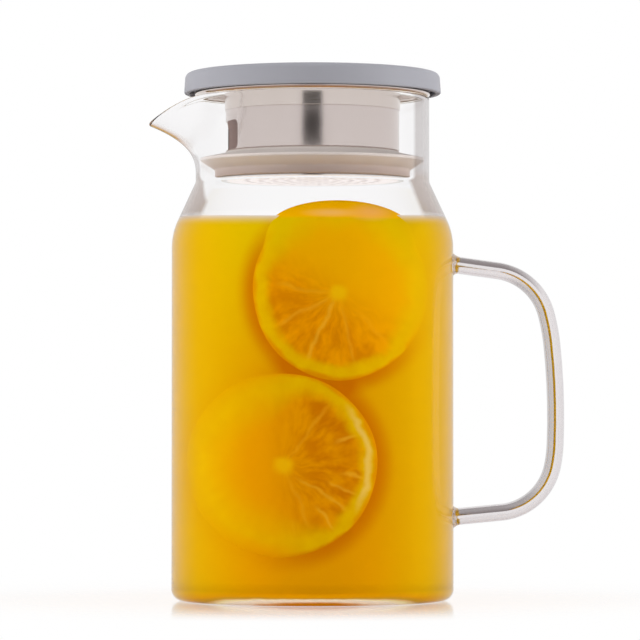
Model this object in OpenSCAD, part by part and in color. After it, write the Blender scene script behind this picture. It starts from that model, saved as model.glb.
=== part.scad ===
// Glass pitcher with a lid that strains and pours.
// Lengths are in millimetres. The axis of the round body is the Z axis and the
// underside of the base lies at Z = 0. The spout points to -X and the handle to +X.

/* [Glass jug] */
// Outer diameter of the straight body
body_d = 120; // [112:1:128]
// Height at which the body starts to draw in
shoulder_h = 150; // [140:1:155]
// Radius of the outer curve from the body into the slope
shoulder_r = 28; // [20:1:32]
// Slope of the shoulder, in degrees from upright
shoulder_slope = 25; // [22:1:30]
// Outer diameter of the neck
neck_d = 99.6; // [96:0.2:103]
// Radius of the outer curve from the slope into the neck
neck_blend_r = 4; // [3:0.5:6]
// Length of the upright neck, from the shoulder to the rim
neck_l = 35.3; // [33:0.1:45]
// Thickness of the glass wall
wall_t = 2; // [1.6:0.1:2.2]
// Thickness of the glass base
base_t = 3; // [2.4:0.2:5]
// Radius of the heel, outside
heel_r = 5; // [3:0.5:7]
// Radius of the curve from the floor to the wall, inside
floor_r = 7; // [5:0.5:9]

/* [Spout] */
// How far the lip is pulled out beyond the neck
spout_reach = 19.3; // [15:0.1:21]
// How far the lip lies below the rim
spout_drop = 11.3; // [8:0.1:13]
// How far above the shoulder the neck starts to flare into the spout
spout_start = 1.3; // [1:0.1:4]
// Half of the angle of the neck that the spout takes, in degrees
spout_half_angle = 36; // [30:1:42]

/* [Handle] */
// Thickness of the glass rod, seen from the side
rod_t = 7.2; // [6:0.2:8.4]
// Width of the glass rod, seen from behind
rod_w = 17.6; // [14:0.2:20]
// Height of the upper foot on the wall
top_foot_h = 143.2; // [136:0.2:146]
// Length of the straight part of the upper arm
top_arm_l = 19.1; // [14:0.1:26]
// Downward slope of the upper arm, in degrees
top_arm_slope = 8; // [4:0.5:12]
// Radius of the upper corner
top_corner_r = 25; // [20:0.5:29]
// Radius of the easing between the upper corner and the grip
top_ease_r = 85; // [60:1:110]
// Radius of the slight bow of the grip
grip_bow_r = 290; // [240:5:360]
// Radius of the easing between the grip and the lower corner
low_ease_r = 58; // [45:1:75]
// Radius of the lower corner
low_corner_r = 24.6; // [20:0.1:28]
// Upward slope of the lower arm, in degrees
low_arm_slope = 5.6; // [3:0.2:9]
// Height and width that each foot adds round the rod
foot_flare = 1.2; // [0.8:0.1:1.6]
// Length of each foot
foot_l = 2.4; // [1.8:0.2:3.2]

/* [Lid] */
// How far the rolled rim of the steel plate stands out beyond the neck
plate_overhang = 0.4; // [-0.4:0.1:1]
// How far the cap stands out beyond the steel plate at its lower edge
cap_overhang = 4.6; // [3.8:0.1:5.4]
// Height of the cap
cap_h = 8.9; // [8:0.1:10]
// How much narrower the side of the cap is at its top, on the radius
cap_draft = 0.6; // [0.2:0.1:1.2]
// Radius of the upper edge of the cap
cap_edge_r = 2.5; // [1.5:0.1:3]
// Thickness of the wall of the cap
cap_t = 2.4; // [2:0.1:3]
// Diameter of the roll of the rim
roll_d = 2.4; // [2:0.1:2.8]
// Thickness of the steel plate
plate_t = 0.8; // [0.6:0.1:1]
// Outer diameter of the steel cup
cup_d = 74; // [70:0.5:78]
// Thickness of the sheet of the cup
cup_t = 0.6; // [0.5:0.05:0.8]
// Height of the collar that joins plate and cup
collar_h = 7.7; // [5:0.1:9]
// Thickness of the sheet of the collar
collar_t = 0.4; // [0.3:0.05:0.5]

/* [Pour window] */
// Width of the window across the cup
window_w = 27.2; // [20:0.2:34]
// Height of the window
window_h = 12.4; // [10:0.2:13]
// Radius of the corners of the window
window_r = 2.5; // [1.5:0.1:4]
// Height of plain sheet between the collar and the window
window_gap = 4.8; // [3:0.1:6]
// How far the lid is turned so that the window looks past the spout, in degrees
window_turn = 10.8; // [0:0.2:30]

/* [Seal and strainer] */
// Depth of the step in the cup above the seal
step_t = 0.8; // [0.6:0.1:1.1]
// Height of the seal
seal_h = 11.4; // [10:0.2:12.6]
// Height from the foot of the seal to the underside of its lip
seal_lip_h = 7.3; // [6:0.1:7.6]
// Thickness of the lip at its tip
seal_tip_t = 1.2; // [0.8:0.1:1.6]
// Thickness of the sleeve of the seal below the lip
seal_sleeve_t = 5.3; // [4.4:0.1:6]
// Thickness of the seal at its upper edge
seal_top_t = 0.6; // [0.4:0.1:0.9]
// Diameter of the holes of the strainer
hole_d = 2.8; // [2.2:0.1:3.2]
// Distance from one ring of holes to the next
hole_pitch = 5.6; // [4.8:0.1:5.8]
// Number of rings of holes
hole_rings = 5; // [3:1:5]
// Thickness of the strainer plate
strainer_t = 0.6; // [0.5:0.1:0.9]
// How far the strainer plate stands out beyond the cup
strainer_lip = 2.8; // [2:0.1:3.2]

/* [Hidden] */
// Play between the cup and the seal that it turns in
turn_clear = 0.05;
// Gap between soft or seated pieces that are free of each other
rest_clear = 0.3;
// Overrun of every cut beyond what it cuts
overrun = 2;
// Exponents that shape the flare, the plan and the fall of the spout
flare_power = 2.75;
plan_power = 1.7;
fall_power = 1.45;
// Steps of the curves
arc_steps = 10;
corner_steps = 8;
// Places round the neck, and how much closer they lie at the spout
around = 96;
crowd_share = 0.5;
// Rings up the flare, and angle steps over the rim
flare_rings = 10;
rim_steps = 6;
// Small steps with which the slope of the spout is found
slope_share = 0.01;
slope_angle = 0.5;
// Seam at which the spout's surface leaves the round neck
seam_lap = 1;
seam_inset = 0.45;
seam_rise = 0.15;
// Sides of the rod, angle step along a bend and steps along a foot
rod_sides = 32;
bend_step = 4.5;
foot_steps = 4;
// How deep a foot starts inside the wall before it is cut to the wall's round
foot_sink = 1.6;
// Directions of the handle where one radius passes into the next, in degrees
top_corner_angle = 75;
top_ease_angle = 84;
grip_angle = 92.4;
low_ease_angle = 102;

body_r = body_d / 2;
neck_r = neck_d / 2;
neck_in_r = neck_r - wall_t;
slope_r = neck_blend_r * (1 - cos(shoulder_slope));
// Height at which the neck becomes upright
neck_h = shoulder_h + shoulder_r * sin(shoulder_slope) + neck_blend_r * sin(shoulder_slope)
    + (body_r - shoulder_r * (1 - cos(shoulder_slope)) - neck_r - slope_r) / tan(shoulder_slope);
jug_h = neck_h + neck_l;
spout_h = neck_h + spout_start;
seam_h = spout_h + seam_rise;
rim_r = wall_t / 2;

// The lid hangs on the rim of the jug.
roll_r = roll_d / 2;
plate_low_h = jug_h + rest_clear;
plate_top_h = plate_low_h + roll_d;
plate_under_h = plate_top_h - plate_t;
cap_low_h = plate_low_h + roll_r;
cap_top_h = cap_low_h + cap_h;
plate_r = neck_r + plate_overhang;
cap_r = plate_r + cap_overhang;
cup_r = cup_d / 2;
cup_low_r = cup_r - step_t;
// The window hangs a set depth below the collar, and the seal starts just below the window.
window_top_h = plate_under_h - collar_h - window_gap;
window_low_h = window_top_h - window_h;
step_h = window_low_h - rest_clear / 2;
seal_top_h = step_h - rest_clear;
seal_low_h = seal_top_h - seal_h;
strainer_top_h = seal_low_h - rest_clear;
seal_in_r = cup_low_r + turn_clear;
seal_tip_r = neck_in_r - rest_clear;
strainer_r = cup_low_r + strainer_lip;

// Points of an arc about [cx, cy], from one angle to the other
function arc(cx, cy, r, from, to, steps) =
    [for (i = [0:steps]) let (a = from + (to - from) * i / steps) [cx + r * cos(a), cy + r * sin(a)]];

// Outline of the jug below the spout: inset 0 is the outside, wall_t the inside.
function shoulder_line(inset) = concat(
    arc(body_r - shoulder_r, shoulder_h, shoulder_r - inset, 0, shoulder_slope, arc_steps),
    arc(neck_r + neck_blend_r, neck_h, neck_blend_r + inset, 180 + shoulder_slope, 180, corner_steps)
);

// Reverses a list of points
function flip(points) = [for (i = [len(points) - 1:-1:0]) points[i]];

// How much of the pull of the spout reaches angle a from its middle, from 1 to 0
function pull(a) = abs(a) >= spout_half_angle ? 0 : pow((1 + cos(180 * a / spout_half_angle)) / 2, plan_power);

// Outer surface of the neck: u runs from the seam at 0 to the rim at 1, a is the angle from the spout.
function neck_point(u, a) =
    let (
        b = pull(a),
        r = neck_r + spout_reach * b * pow(u, flare_power),
        top = jug_h - rim_r - spout_drop * pow(b, fall_power)
    )
    [-r * cos(a), -r * sin(a), seam_h + u * (top - seam_h)];

function unit(v) = v / norm(v);
function up_line(u, a) = unit(neck_point(u + slope_share, a) - neck_point(u, a));
function out_line(u, a) =
    unit(cross(neck_point(u, a + slope_angle) - neck_point(u, a - slope_angle), up_line(u, a)));

// One section of the neck, up the outside, over the rounded rim and down the inside
function neck_section(a) =
    let (
        outer = [for (j = [0:flare_rings]) neck_point(j / flare_rings, a)],
        n = out_line(1, a),
        t = up_line(1, a),
        mid = neck_point(1, a) - n * rim_r,
        rim = [for (j = [1:rim_steps - 1]) let (g = 180 * j / rim_steps) mid + (n * cos(g) + t * sin(g)) * rim_r],
        inner = [for (j = [flare_rings:-1:0]) let (u = j / flare_rings) neck_point(u, a) - out_line(u, a) * wall_t],
        foot = [for (r = [neck_in_r + seam_inset, neck_r - seam_inset]) [-r * cos(a), -r * sin(a), spout_h - seam_lap]]
    )
    concat(outer, rim, inner, foot);

// Angles of the sections, closer together at the spout
function neck_angle(i) = let (s = 360 * i / around - 180) s - crowd_share * sin(s) * 180 / PI;

module neck_and_spout() {
    sections = [for (i = [0:around - 1]) neck_section(neck_angle(i))];
    count = len(sections[0]);
    points = [for (s = sections) each s];
    faces = [
        for (i = [0:around - 1], j = [0:count - 1])
            let (
                k = (i + 1) % around,
                m = (j + 1) % count,
                p = i * count + j,
                q = i * count + m,
                r = k * count + m,
                s = k * count + j
            )
            each [[p, q, r], [p, r, s]]
    ];
    polyhedron(points = points, faces = faces);
}

module glass_body() {
    color([0.85, 0.91, 0.93, 0.45])
        union() {
            rotate_extrude($fn = 180)
                polygon(concat(
                    [[0, 0]],
                    arc(body_r - heel_r, heel_r, heel_r, -90, 0, corner_steps),
                    shoulder_line(0),
                    [[neck_r, spout_h], [neck_in_r, spout_h]],
                    flip(shoulder_line(wall_t)),
                    arc(body_r - wall_t - floor_r, base_t + floor_r, floor_r, 0, -90, corner_steps),
                    [[0, base_t]]
                ));
            neck_and_spout();
        }
}

// Where a run or a bend of the centre line of the handle ends
function run_end(p, a, l) = [p[0] + l * cos(a), p[1] - l * sin(a)];
function bend_end(p, a, b, r) = [p[0] + r * (sin(b) - sin(a)), p[1] - r * (cos(a) - cos(b))];

// Stations along a bend that starts at p and turns down from direction a to direction b
function bend(p, a, b, r) =
    let (n = ceil((b - a) / bend_step))
    [for (i = [1:n]) let (g = a + (b - a) * i / n) [bend_end(p, a, g, r), g, 0]];

// Stations of a flared foot that starts at p, each with what the flare adds there
function foot(p, a) =
    [for (i = [0:foot_steps]) let (k = i / foot_steps) [run_end(p, a, (foot_l + foot_sink) * k), a, foot_flare * pow(1 - k, 2)]];

// One ring of the oval rod at a station
function rod_ring(station) =
    let (p = station[0], a = station[1], add = station[2])
    [for (i = [0:rod_sides - 1])
        let (b = 360 * i / rod_sides, s = (rod_t / 2 + add) * cos(b), y = (rod_w / 2 + add) * sin(b))
        [p[0] + s * sin(a), y, p[1] + s * cos(a)]];

// The solid rod, bent in one plane and cut to the round of the wall at both feet
module handle() {
    low_end = 180 - low_arm_slope;
    p0 = [body_r - foot_sink, top_foot_h];
    p1 = run_end(p0, top_arm_slope, top_arm_l + foot_sink);
    p2 = bend_end(p1, top_arm_slope, top_corner_angle, top_corner_r);
    p3 = bend_end(p2, top_corner_angle, top_ease_angle, top_ease_r);
    p4 = bend_end(p3, top_ease_angle, grip_angle, grip_bow_r);
    p5 = bend_end(p4, grip_angle, low_ease_angle, low_ease_r);
    p6 = bend_end(p5, low_ease_angle, low_end, low_corner_r);
    p7 = run_end(p6, low_end, (p6[0] - p0[0]) / cos(low_arm_slope));
    stations = concat(
        foot(p0, top_arm_slope),
        [[p1, top_arm_slope, 0]],
        bend(p1, top_arm_slope, top_corner_angle, top_corner_r),
        bend(p2, top_corner_angle, top_ease_angle, top_ease_r),
        bend(p3, top_ease_angle, grip_angle, grip_bow_r),
        bend(p4, grip_angle, low_ease_angle, low_ease_r),
        bend(p5, low_ease_angle, low_end, low_corner_r),
        [for (s = flip(foot(p7, -low_arm_slope))) [s[0], low_end, s[2]]]
    );
    points = [for (s = stations) each rod_ring(s)];
    last = len(points) - rod_sides;
    faces = concat(
        [[for (i = [rod_sides - 1:-1:0]) i]],
        [for (k = [0:len(stations) - 2], i = [0:rod_sides - 1])
            let (
                m = (i + 1) % rod_sides,
                p = k * rod_sides + i,
                q = k * rod_sides + m,
                r = q + rod_sides,
                s = p + rod_sides
            )
            each [[p, q, r], [p, r, s]]],
        [[for (i = [0:rod_sides - 1]) last + i]]
    );
    color([0.85, 0.91, 0.93, 0.6])
        difference() {
            polyhedron(points = points, faces = faces);
            cylinder(h = jug_h, d = body_d, $fn = 180);
        }
}

module seal_ring() {
    color([0.66, 0.6, 0.57])
        rotate_extrude($fn = 180)
            polygon([
                [seal_in_r, seal_low_h],
                [seal_in_r + seal_sleeve_t, seal_low_h],
                [seal_in_r + seal_sleeve_t, seal_low_h + seal_lip_h - 3 * seal_tip_t],
                [seal_tip_r, seal_low_h + seal_lip_h],
                [seal_tip_r, seal_low_h + seal_lip_h + seal_tip_t],
                [seal_in_r + seal_top_t, seal_top_h],
                [seal_in_r, seal_top_h]
            ]);
}

module lid_cap() {
    groove_h = plate_top_h + cap_t / 2;
    skirt_r = cap_r - cap_t;
    color([0.66, 0.68, 0.72])
        rotate_extrude($fn = 180)
            polygon(concat(
                [[0, cap_top_h - cap_t], [plate_r - 2 * cap_t, cap_top_h - cap_t]],
                [[plate_r - 2 * cap_t, plate_top_h], [plate_r + rest_clear, plate_top_h]],
                [[plate_r + rest_clear, groove_h], [skirt_r, groove_h], [skirt_r, cap_low_h]],
                arc(cap_r - cap_t / 4, cap_low_h + cap_t / 4, cap_t / 4, -90, 0, corner_steps),
                arc(cap_r - cap_draft - cap_edge_r, cap_top_h - cap_edge_r, cap_edge_r, 0, 90, corner_steps),
                [[0, cap_top_h]]
            ));
}

module lid_plate() {
    collar_low_h = plate_under_h - collar_h;
    color([0.8, 0.78, 0.76])
        rotate_extrude($fn = 180)
            polygon(concat(
                [[0, plate_under_h], [cup_r, plate_under_h], [cup_r, collar_low_h]],
                [[cup_r + collar_t, collar_low_h], [cup_r + collar_t, plate_under_h]],
                [[plate_r - roll_d, plate_under_h]],
                arc(plate_r - roll_r, plate_top_h - roll_r, roll_r, 180, 450, 3 * corner_steps),
                [[0, plate_top_h]]
            ));
}

module strainer_cup() {
    color([0.8, 0.78, 0.76])
        difference() {
            rotate_extrude($fn = 180)
                polygon([
                    [cup_r - cup_t, plate_under_h],
                    [cup_r - cup_t, step_h + cup_t],
                    [cup_low_r - cup_t, step_h - cup_t],
                    [cup_low_r - cup_t, strainer_top_h],
                    [cup_low_r, strainer_top_h],
                    [cup_low_r, step_h],
                    [cup_r, step_h],
                    [cup_r, plate_under_h]
                ]);
            rotate(window_turn)
                translate([-cup_r / 2, 0, window_low_h + window_h / 2])
                    rotate([0, -90, 0])
                        linear_extrude(cup_r)
                            window_outline();
        }
}

// Outline of the pour window, with X up and Y across
module window_outline() {
    x = window_h / 2 - window_r;
    y = window_w / 2 - window_r;
    polygon(concat(
        arc(x, y, window_r, 0, 90, corner_steps),
        arc(-x, y, window_r, 90, 180, corner_steps),
        arc(-x, -y, window_r, 180, 270, corner_steps),
        arc(x, -y, window_r, 270, 360, corner_steps)
    ));
}

module strainer_plate() {
    color([0.72, 0.71, 0.7])
        translate([0, 0, strainer_top_h - strainer_t])
            difference() {
                cylinder(h = strainer_t, r = strainer_r, $fn = 180);
                translate([0, 0, -overrun])
                    linear_extrude(strainer_t + 2 * overrun)
                        strainer_holes();
            }
}

// One hole in the middle and six more in each ring than in the ring inside it
module strainer_holes() {
    circle(d = hole_d, $fn = 24);
    for (ring = [1:hole_rings], i = [0:6 * ring - 1])
        rotate(60 * i / ring)
            translate([ring * hole_pitch, 0])
                circle(d = hole_d, $fn = 24);
}

glass_body();
handle();
seal_ring();
lid_cap();
lid_plate();
strainer_cup();
strainer_plate();
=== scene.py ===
import functools
import math

import bmesh
import bpy
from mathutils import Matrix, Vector


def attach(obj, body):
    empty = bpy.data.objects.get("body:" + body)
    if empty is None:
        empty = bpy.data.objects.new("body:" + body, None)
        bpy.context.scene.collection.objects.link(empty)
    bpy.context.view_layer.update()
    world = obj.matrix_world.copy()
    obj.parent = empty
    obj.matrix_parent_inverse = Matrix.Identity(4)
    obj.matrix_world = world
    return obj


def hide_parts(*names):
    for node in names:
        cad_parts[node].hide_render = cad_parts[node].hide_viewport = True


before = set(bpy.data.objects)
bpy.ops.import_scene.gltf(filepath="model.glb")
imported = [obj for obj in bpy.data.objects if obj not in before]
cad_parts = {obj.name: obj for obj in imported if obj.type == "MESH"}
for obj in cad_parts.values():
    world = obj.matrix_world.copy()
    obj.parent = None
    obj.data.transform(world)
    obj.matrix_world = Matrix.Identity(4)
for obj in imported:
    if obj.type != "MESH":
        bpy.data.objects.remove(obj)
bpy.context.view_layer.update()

# The jug stands on its base at Z = 0, the spout points to -X and the handle to +X.
# Shapes are worked out in millimetres, as in the part's source, and become metres here.
MM = 0.001

# ---- sizes of the jug ----
BODY_R, SHOULDER_H, SHOULDER_R, SHOULDER_SLOPE = 60.0, 150.0, 28.0, 25.0
NECK_R, NECK_BLEND_R, NECK_H, JUG_H = 49.8, 4.0, 178.97, 214.27
WALL, BASE, HEEL_R, FLOOR_R = 2.0, 3.0, 5.0, 7.0
SPOUT_REACH, SPOUT_DROP, SPOUT_HALF_ANGLE, SPOUT_SEAM_H = 19.3, 11.3, 36.0, 180.42
# Exponents that shape the plan, the flare and the fall of the spout.
PLAN_POWER, FLARE_POWER, FALL_POWER = 1.7, 2.75, 1.45
# ---- sizes of the handle ----
ROD_T, ROD_W, TOP_FOOT_H, TOP_ARM, LOW_ARM_RISE = 7.2, 17.6, 143.2, 19.1, 5.6
FOOT_FLARE, FOOT_L = 1.2, 2.4
# The top arm starts a little inside the wall, and comes out of it this much lower.
START_DROP = 0.17
# Directions below level, in degrees, and radii of the bends from the top arm to the low arm.
TOP_ARM_SLOPE, LOW_ARM_WAY = 8, 180 - LOW_ARM_RISE
BENDS = ((TOP_ARM_SLOPE, 75, 25), (75, 84, 85), (84, 92.4, 290), (92.4, 102, 58), (102, LOW_ARM_WAY, 24.6))
# ---- sizes of the lid ----
SEAT_GAP = 0.3                          # between seated pieces that are free of each other
WELD_GAP = 0.02                         # keeps the faces of welded pieces apart
CAP_T, ROLL_D, PLATE_T, CUP_T, COLLAR_T = 2.4, 2.4, 0.8, 0.6, 0.4
PLATE_LOW = JUG_H + SEAT_GAP
PLATE_TOP = PLATE_LOW + ROLL_D
PLATE_UNDER = PLATE_TOP - PLATE_T
PLATE_R, CAP_R, CUP_R, CUP_LOW_R = 50.2, 54.8, 37.0, 36.2
CAP_LOW, CAP_TOP = PLATE_LOW + 1.2, PLATE_LOW + 10.1
COLLAR_LOW = PLATE_UNDER - 7.7
WINDOW_TOP, WINDOW_LOW, WINDOW_HALF, WINDOW_CORNER = COLLAR_LOW - 4.8, COLLAR_LOW - 17.2, 13.6, 2.5
WINDOW_TURN = 10.8
STEP_H = WINDOW_LOW - 0.15
SEAL_TOP = STEP_H - SEAT_GAP
SEAL_LOW = SEAL_TOP - 11.4
STRAINER_TOP = SEAL_LOW - SEAT_GAP
# ---- the drink and the fruit in it ----
# They are what the jug is shown holding, no pieces of it. The drink sinks into the glass a little,
# so that no air shows between them.
DRINK_H, DRINK_SINK = 160.3, 0.3
# The film that the drink leaves on the wall climbs this much in front, and this much more at the sides.
FILM_CLIMB, FILM_SIDE_CLIMB = 0.4, 1.9
# Each slice: middle in X and Z, half its width and half its height.
TOP_SLICE = (11.4, 130.0, 36.4, 37.5)
LOW_SLICE = (-12.6, 58.2, 39.6, 38.4)
SLICE_T, PEEL_FROM = 2.6, 0.93          # the peel begins at this share of the radius


# ======== shapes ========
def arc(cx, cz, r, start, end, steps):
    """Points of an arc in the plane of the axis, angles in degrees."""
    return [(cx + r * math.cos(math.radians(start + (end - start) * i / steps)),
             cz + r * math.sin(math.radians(start + (end - start) * i / steps))) for i in range(steps + 1)]


def eased(corners, steps=5):
    """A turned profile from its corners, each (radius, height, ease), with the ease as a small round."""
    outline = []
    for i, (x, z, ease) in enumerate(corners):
        here = Vector((x, z))
        before = Vector(corners[i - 1][:2]) - here
        after = Vector(corners[(i + 1) % len(corners)][:2]) - here
        if not ease:
            outline.append((x, z))
            continue
        corner_angle = before.angle(after)
        reach = min(ease / math.tan(corner_angle / 2), 0.45 * before.length, 0.45 * after.length)
        radius = reach * math.tan(corner_angle / 2)
        halfway = (before.normalized() + after.normalized()).normalized()
        middle = here + halfway * radius / math.sin(corner_angle / 2)
        a, b = here + before.normalized() * reach - middle, here + after.normalized() * reach - middle
        for k in range(steps + 1):
            outline.append(tuple(middle + a.slerp(b, k / steps).normalized() * radius))
    return outline


def put_in_scene(name, data):
    thing = bpy.data.objects.new(name, data)
    bpy.context.scene.collection.objects.link(thing)
    return thing


def skin(name, sections, ring, tube, sharp=35.0):
    """A mesh through sections of as many points each. ring joins the last section to the first,
    tube joins the last point of a section to its first."""
    mesh = bpy.data.meshes.new(name)
    bm = bmesh.new()
    rows = [[bm.verts.new(Vector(p) * MM) for p in section] for section in sections]
    count = len(rows[0])
    for i in range(len(rows) if ring else len(rows) - 1):
        near, far = rows[i], rows[(i + 1) % len(rows)]
        for j in range(count if tube else count - 1):
            k = (j + 1) % count
            bm.faces.new((near[j], near[k], far[k], far[j]))
    if tube and not ring:
        bm.faces.new(rows[0])
        bm.faces.new(list(reversed(rows[-1])))
    bmesh.ops.remove_doubles(bm, verts=bm.verts, dist=0.0005 * MM)
    bmesh.ops.recalc_face_normals(bm, faces=bm.faces)
    bm.to_mesh(mesh)
    bm.free()
    mesh.shade_smooth()
    mesh.set_sharp_from_angle(angle=math.radians(sharp))
    return put_in_scene(name, mesh)


def turned(name, outline, turns, hollow=True):
    """A piece turned round the axis. A hollow one has a closed outline, another's ends are on the axis."""
    sections = []
    for i in range(turns):
        c, s = math.cos(2 * math.pi * i / turns), math.sin(2 * math.pi * i / turns)
        sections.append([(r * c, r * s, z) for r, z in outline])
    return skin(name, sections, ring=True, tube=hollow)


# ---- the blown jug ----
def shoulder_line(inset):
    """The draw-in from body to neck: inset 0 is the outside, WALL the inside."""
    return (arc(BODY_R - SHOULDER_R, SHOULDER_H, SHOULDER_R - inset, 0, SHOULDER_SLOPE, 16)
            + arc(NECK_R + NECK_BLEND_R, NECK_H, NECK_BLEND_R + inset, 180 + SHOULDER_SLOPE, 180, 12))


def spout_pull(a):
    """How much of the pull of the spout reaches angle a, in degrees from its middle."""
    if abs(a) >= SPOUT_HALF_ANGLE:
        return 0.0
    return ((1 + math.cos(math.pi * a / SPOUT_HALF_ANGLE)) / 2) ** PLAN_POWER


def neck_point(u, a):
    """Outer face of the neck and spout, u from the seam at 0 to the rim at 1."""
    b = spout_pull(a)
    r = NECK_R + SPOUT_REACH * b * u ** FLARE_POWER
    top = JUG_H - WALL / 2 - SPOUT_DROP * b ** FALL_POWER
    t = math.radians(a)
    return Vector((-r * math.cos(t), -r * math.sin(t), SPOUT_SEAM_H + u * (top - SPOUT_SEAM_H)))


def neck_out(u, a):
    """Direction square to the outer face."""
    up = neck_point(u + 0.01, a) - neck_point(u, a)
    side = neck_point(u, a + 0.5) - neck_point(u, a - 0.5)
    return side.cross(up).normalized()


def neck_section(a):
    """Up the outside, over the fire-polished rim and down the inside."""
    flare_steps, rim_steps = 24, 12
    flare = [k / flare_steps for k in range(flare_steps + 1)]
    outside = [neck_point(u, a) for u in flare]
    out = neck_out(1, a)
    up = (neck_point(1.01, a) - neck_point(1, a)).normalized()
    middle = neck_point(1, a) - out * (WALL / 2)
    rim = []
    for k in range(1, rim_steps):
        g = math.pi * k / rim_steps
        rim.append(middle + (out * math.cos(g) + up * math.sin(g)) * (WALL / 2))
    inside = [neck_point(u, a) - neck_out(u, a) * WALL for u in reversed(flare)]
    return outside + rim + inside


def make_glass_jug():
    """The jug as sections through the axis, which lie closer together towards the spout."""
    outside = ([(0, 0), (20, 0), (40, 0), (50, 0)] + arc(BODY_R - HEEL_R, HEEL_R, HEEL_R, -90, 0, 14)
               + [(BODY_R, z) for z in (10, 30, 55, 80, 105, 130)] + shoulder_line(0))
    inside = (list(reversed(shoulder_line(WALL))) + [(BODY_R - WALL, z) for z in (130, 105, 80, 55, 30)]
              + arc(BODY_R - WALL - FLOOR_R, BASE + FLOOR_R, FLOOR_R, 0, -90, 14)
              + [(40, BASE), (20, BASE), (0, BASE)])
    sections = []
    places, crowding = 320, 0.5
    for i in range(places):
        s = 2 * math.pi * i / places - math.pi
        a = math.degrees(s - crowding * math.sin(s))
        c, d = math.cos(math.radians(a)), math.sin(math.radians(a))
        sections.append([(-r * c, -r * d, z) for r, z in outside] + neck_section(a)
                        + [(-r * c, -r * d, z) for r, z in inside])
    return skin("glass_jug", sections, ring=True, tube=False, sharp=60)


# ---- the rod handle ----
def run_end(p, a, length):
    """Where a straight run ends that leaves p in direction a, in degrees below level."""
    return (p[0] + length * math.cos(math.radians(a)), p[1] - length * math.sin(math.radians(a)))


def bend_end(p, a, b, r):
    """Where a bend of radius r ends that leaves p in direction a and turns to direction b."""
    a, b = math.radians(a), math.radians(b)
    return (p[0] + r * (math.sin(b) - math.sin(a)), p[1] - r * (math.cos(a) - math.cos(b)))


def handle_stations():
    """Places along the rod, each with its direction and its share of the foot, 1 at the wall."""
    foot_steps, arm_steps, bend_step = 8, 5, 1.7
    start = (BODY_R, TOP_FOOT_H - START_DROP)
    stations = []
    for k in range(foot_steps + 1):
        along = FOOT_L * k / foot_steps
        stations.append((run_end(start, TOP_ARM_SLOPE, along), TOP_ARM_SLOPE, 1 - k / foot_steps))
    for k in range(1, arm_steps + 1):
        along = FOOT_L + (TOP_ARM - FOOT_L) * k / arm_steps
        stations.append((run_end(start, TOP_ARM_SLOPE, along), TOP_ARM_SLOPE, 0))
    p = run_end(start, TOP_ARM_SLOPE, TOP_ARM)
    for a, b, r in BENDS:
        steps = max(4, math.ceil((b - a) / bend_step))
        for k in range(1, steps + 1):
            g = a + (b - a) * k / steps
            stations.append((bend_end(p, a, g, r), g, 0))
        p = bend_end(p, a, b, r)
    run = (p[0] - BODY_R) / math.cos(math.radians(LOW_ARM_RISE))
    for k in range(1, arm_steps + 1):
        stations.append((run_end(p, LOW_ARM_WAY, (run - FOOT_L) * k / arm_steps), LOW_ARM_WAY, 0))
    for k in range(1, foot_steps + 1):
        along = run - FOOT_L + FOOT_L * k / foot_steps
        stations.append((run_end(p, LOW_ARM_WAY, along), LOW_ARM_WAY, k / foot_steps))
    return stations


def make_handle():
    """The bent rod. Its feet widen where they were melted on, take on the round of the wall, and end just
    inside it."""
    sides, end_sink = 56, 0.04
    sections = []
    for place, direction, foot in handle_stations():
        a = math.radians(direction)
        wider = FOOT_FLARE * foot ** 2
        section = []
        for i in range(sides):
            b = 2 * math.pi * i / sides
            s, y = (ROD_T / 2 + wider) * math.cos(b), (ROD_W / 2 + wider) * math.sin(b)
            x, z = place[0] + s * math.sin(a), place[1] + s * math.cos(a)
            if foot:
                slide = (math.sqrt((BODY_R - end_sink) ** 2 - y * y) - x) / math.cos(a)
                if foot < 1:
                    slide = (math.sqrt(BODY_R ** 2 - y * y) - BODY_R - s * math.sin(a)) / math.cos(a) * foot
                x, z = x + slide * math.cos(a), z - slide * math.sin(a)
            section.append((x, y, z))
        sections.append(section)
    return skin("glass_rod_handle", sections, ring=False, tube=True, sharp=60)


# ---- the lid ----
def make_cap():
    skirt, step = CAP_R - CAP_T, PLATE_TOP + 1.2
    pocket, groove, edge = 45.4, 50.5, 0.25
    outline = eased([
        (0, CAP_TOP - CAP_T, 0), (pocket, CAP_TOP - CAP_T, 0.4), (pocket, PLATE_TOP, edge),
        (groove, PLATE_TOP, edge), (groove, step, edge), (skirt, step, 0.4), (skirt, CAP_LOW, 0.5),
        (CAP_R, CAP_LOW, 0.7), (CAP_R - 0.6, CAP_TOP, 2.5), (0, CAP_TOP, 0)], 8)
    return turned("matt_cap", outline, 300, hollow=False)


def make_plate():
    """The plate with the collar that is welded round the cup, and its rim rolled down."""
    bore, collar_r, roll_r = CUP_R + WELD_GAP, CUP_R + COLLAR_T, ROLL_D / 2
    collar = eased([(bore, PLATE_UNDER, 0), (bore, COLLAR_LOW, 0.12), (collar_r, COLLAR_LOW, 0.16),
                    (collar_r, PLATE_UNDER, 1.2), (PLATE_R - ROLL_D, PLATE_UNDER, 0)])
    rim = arc(PLATE_R - roll_r, PLATE_TOP - roll_r, roll_r, 180, 450, 28)[1:]
    outline = [(0, PLATE_UNDER)] + collar + rim + [(20, PLATE_TOP), (0, PLATE_TOP)]
    return turned("rolled_rim_plate", outline, 300, hollow=False)


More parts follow.
